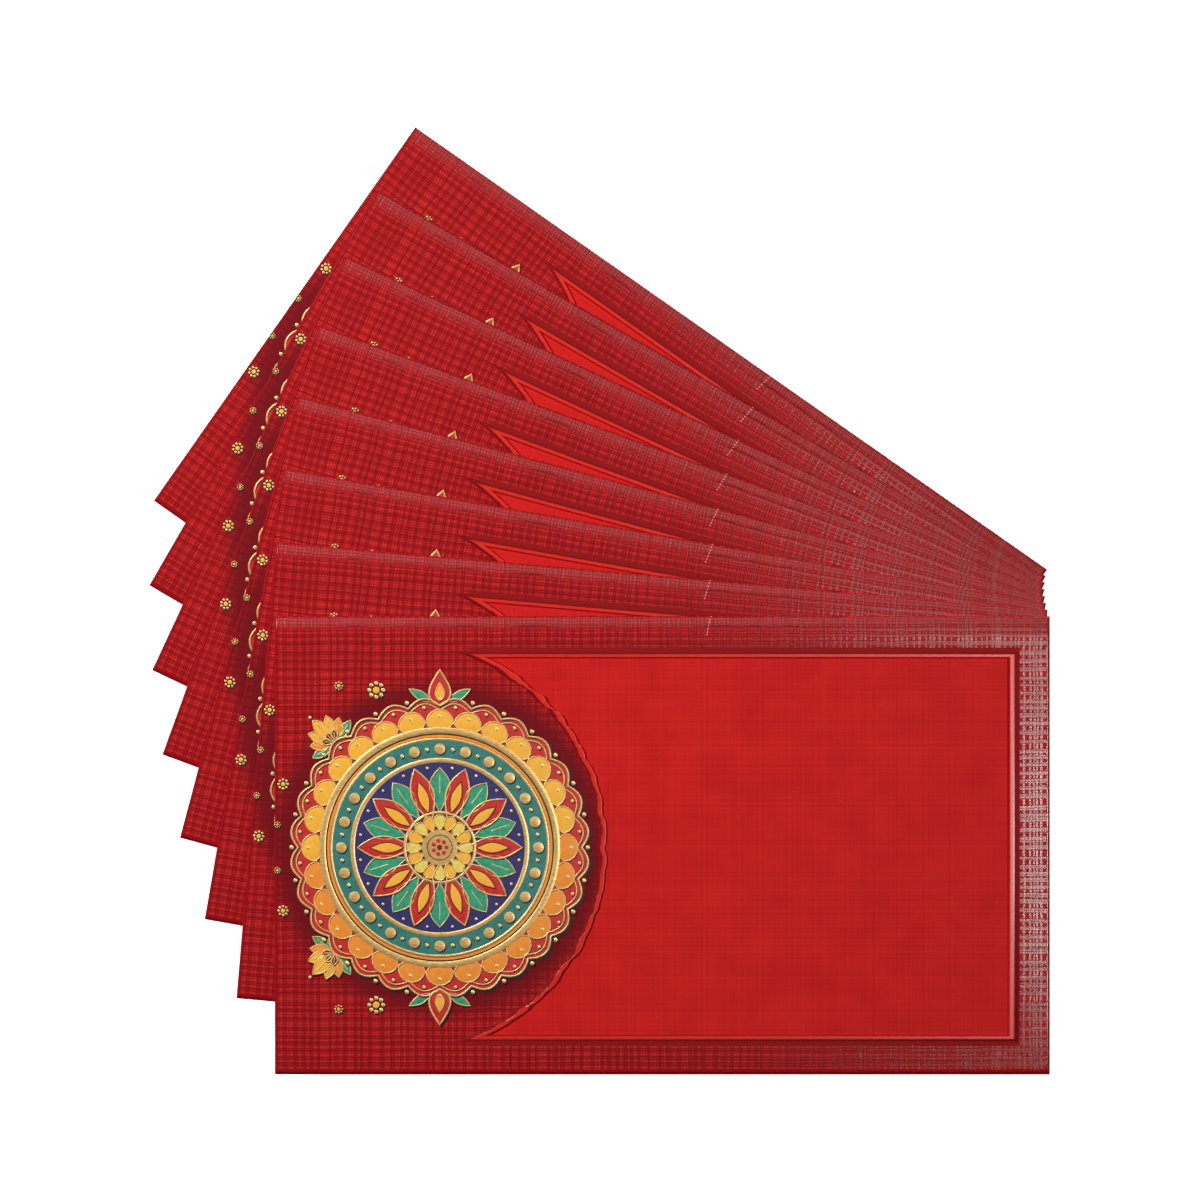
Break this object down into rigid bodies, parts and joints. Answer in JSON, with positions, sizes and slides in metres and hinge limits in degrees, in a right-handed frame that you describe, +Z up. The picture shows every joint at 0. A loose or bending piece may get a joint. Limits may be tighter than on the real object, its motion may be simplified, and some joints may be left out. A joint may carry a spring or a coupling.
{
  "type": "gift money envelope",
  "caption": "Fan of gift money envelopes in red linen-varnished card, each with a writing panel, a raised gold foil medallion and a creased closure flap.",
  "frame": {"origin": "under the middle of the fan's bounding box, on the surface it lies on", "axes": "+Z up out of the fronts, +X along the top envelope's long side towards its fan pivot, +Y up the picture, towards the top envelope's closure crease"},
  "size_m": [0.2164, 0.2278, 0.0148],
  "materials": {
    "card_front": "smooth coated card, satin",
    "card_back": "uncoated side of the same card, matte",
    "linen_varnish": "thin linen-patterned varnish coat, glossy threads on a matte ground",
    "gold_foil": "gold foil and enamel colours over a raised varnish base"
  },
  "bodies": {
    "envelope_8": {"front_card_8": "card_front", "back_card_8": "card_back", "seam_flap_left_8": "card_back", "seam_flap_right_8": "card_back", "linen_coat_8": "linen_varnish", "foil_medallion_8": "gold_foil"},
    "flap_8": {"closure_flap_8": "card_front"},
    "envelope_7": {"front_card_7": "card_front", "back_card_7": "card_back", "seam_flap_left_7": "card_back", "seam_flap_right_7": "card_back", "linen_coat_7": "linen_varnish", "foil_medallion_7": "gold_foil"},
    "flap_7": {"closure_flap_7": "card_front"},
    "envelope_6": {"front_card_6": "card_front", "back_card_6": "card_back", "seam_flap_left_6": "card_back", "seam_flap_right_6": "card_back", "linen_coat_6": "linen_varnish", "foil_medallion_6": "gold_foil"},
    "flap_6": {"closure_flap_6": "card_front"},
    "envelope_5": {"front_card_5": "card_front", "back_card_5": "card_back", "seam_flap_left_5": "card_back", "seam_flap_right_5": "card_back", "linen_coat_5": "linen_varnish", "foil_medallion_5": "gold_foil"},
    "flap_5": {"closure_flap_5": "card_front"},
    "envelope_4": {"front_card_4": "card_front", "back_card_4": "card_back", "seam_flap_left_4": "card_back", "seam_flap_right_4": "card_back", "linen_coat_4": "linen_varnish", "foil_medallion_4": "gold_foil"},
    "flap_4": {"closure_flap_4": "card_front"},
    "envelope_3": {"front_card_3": "card_front", "back_card_3": "card_back", "seam_flap_left_3": "card_back", "seam_flap_right_3": "card_back", "linen_coat_3": "linen_varnish", "foil_medallion_3": "gold_foil"},
    "flap_3": {"closure_flap_3": "card_front"},
    "envelope_2": {"front_card_2": "card_front", "back_card_2": "card_back", "seam_flap_left_2": "card_back", "seam_flap_right_2": "card_back", "linen_coat_2": "linen_varnish", "foil_medallion_2": "gold_foil"},
    "flap_2": {"closure_flap_2": "card_front"},
    "envelope_1": {"front_card_1": "card_front", "back_card_1": "card_back", "seam_flap_left_1": "card_back", "seam_flap_right_1": "card_back", "linen_coat_1": "linen_varnish", "foil_medallion_1": "gold_foil"},
    "flap_1": {"closure_flap_1": "card_front"}
  },
  "joints": [
    {"name": "envelope_7_lift", "type": "slide", "parent": "envelope_8", "child": "envelope_7", "axis": [0, 0, 1], "range_m": [0, 0.125]},
    {"name": "envelope_6_lift", "type": "slide", "parent": "envelope_7", "child": "envelope_6", "axis": [0, 0, 1], "range_m": [0, 0.125]},
    {"name": "envelope_5_lift", "type": "slide", "parent": "envelope_6", "child": "envelope_5", "axis": [0, 0, 1], "range_m": [0, 0.125]},
    {"name": "envelope_4_lift", "type": "slide", "parent": "envelope_5", "child": "envelope_4", "axis": [0, 0, 1], "range_m": [0, 0.125]},
    {"name": "envelope_3_lift", "type": "slide", "parent": "envelope_4", "child": "envelope_3", "axis": [0, 0, 1], "range_m": [0, 0.125]},
    {"name": "envelope_2_lift", "type": "slide", "parent": "envelope_3", "child": "envelope_2", "axis": [0, 0, 1], "range_m": [0, 0.125]},
    {"name": "envelope_1_lift", "type": "slide", "parent": "envelope_2", "child": "envelope_1", "axis": [0, 0, 1], "range_m": [0, 0.125]},
    {"name": "flap_8_fold", "type": "hinge", "parent": "envelope_8", "child": "flap_8", "pos_m": [0.03157, 0.06024, 0.00057], "axis": [0.8192, -0.5736, 0], "range_deg": [0, 180]},
    {"name": "flap_7_fold", "type": "hinge", "parent": "envelope_7", "child": "flap_7", "pos_m": [0.02685, 0.05179, 0.00244], "axis": [0.866, -0.5, 0], "range_deg": [0, 180]},
    {"name": "flap_6_fold", "type": "hinge", "parent": "envelope_6", "child": "flap_6", "pos_m": [0.02288, 0.04296, 0.0043], "axis": [0.9063, -0.4226, 0], "range_deg": [0, 180]},
    {"name": "flap_5_fold", "type": "hinge", "parent": "envelope_5", "child": "flap_5", "pos_m": [0.01969, 0.03381, 0.00615], "axis": [0.9397, -0.342, 0], "range_deg": [0, 180]},
    {"name": "flap_4_fold", "type": "hinge", "parent": "envelope_4", "child": "flap_4", "pos_m": [0.01732, 0.02443, 0.00801], "axis": [0.9659, -0.2588, 0], "range_deg": [0, 180]},
    {"name": "flap_3_fold", "type": "hinge", "parent": "envelope_3", "child": "flap_3", "pos_m": [0.01577, 0.01487, 0.00988], "axis": [0.9848, -0.1736, 0], "range_deg": [0, 180]},
    {"name": "flap_2_fold", "type": "hinge", "parent": "envelope_2", "child": "flap_2", "pos_m": [0.01506, 0.00521, 0.01174], "axis": [0.9962, -0.0872, 0], "range_deg": [0, 180]},
    {"name": "flap_1_fold", "type": "hinge", "parent": "envelope_1", "child": "flap_1", "pos_m": [0.01519, -0.00447, 0.01359], "axis": [1, 0, 0], "range_deg": [0, 180]}
  ],
  "couplings": [
    {"joint": "flap_7_fold", "follows": "envelope_7_lift", "rad_per_m": 25.13},
    {"joint": "flap_6_fold", "follows": "envelope_6_lift", "rad_per_m": 25.13},
    {"joint": "flap_5_fold", "follows": "envelope_5_lift", "rad_per_m": 25.13},
    {"joint": "flap_4_fold", "follows": "envelope_4_lift", "rad_per_m": 25.13},
    {"joint": "flap_3_fold", "follows": "envelope_3_lift", "rad_per_m": 25.13},
    {"joint": "flap_2_fold", "follows": "envelope_2_lift", "rad_per_m": 25.13},
    {"joint": "flap_1_fold", "follows": "envelope_1_lift", "rad_per_m": 25.13}
  ]
}
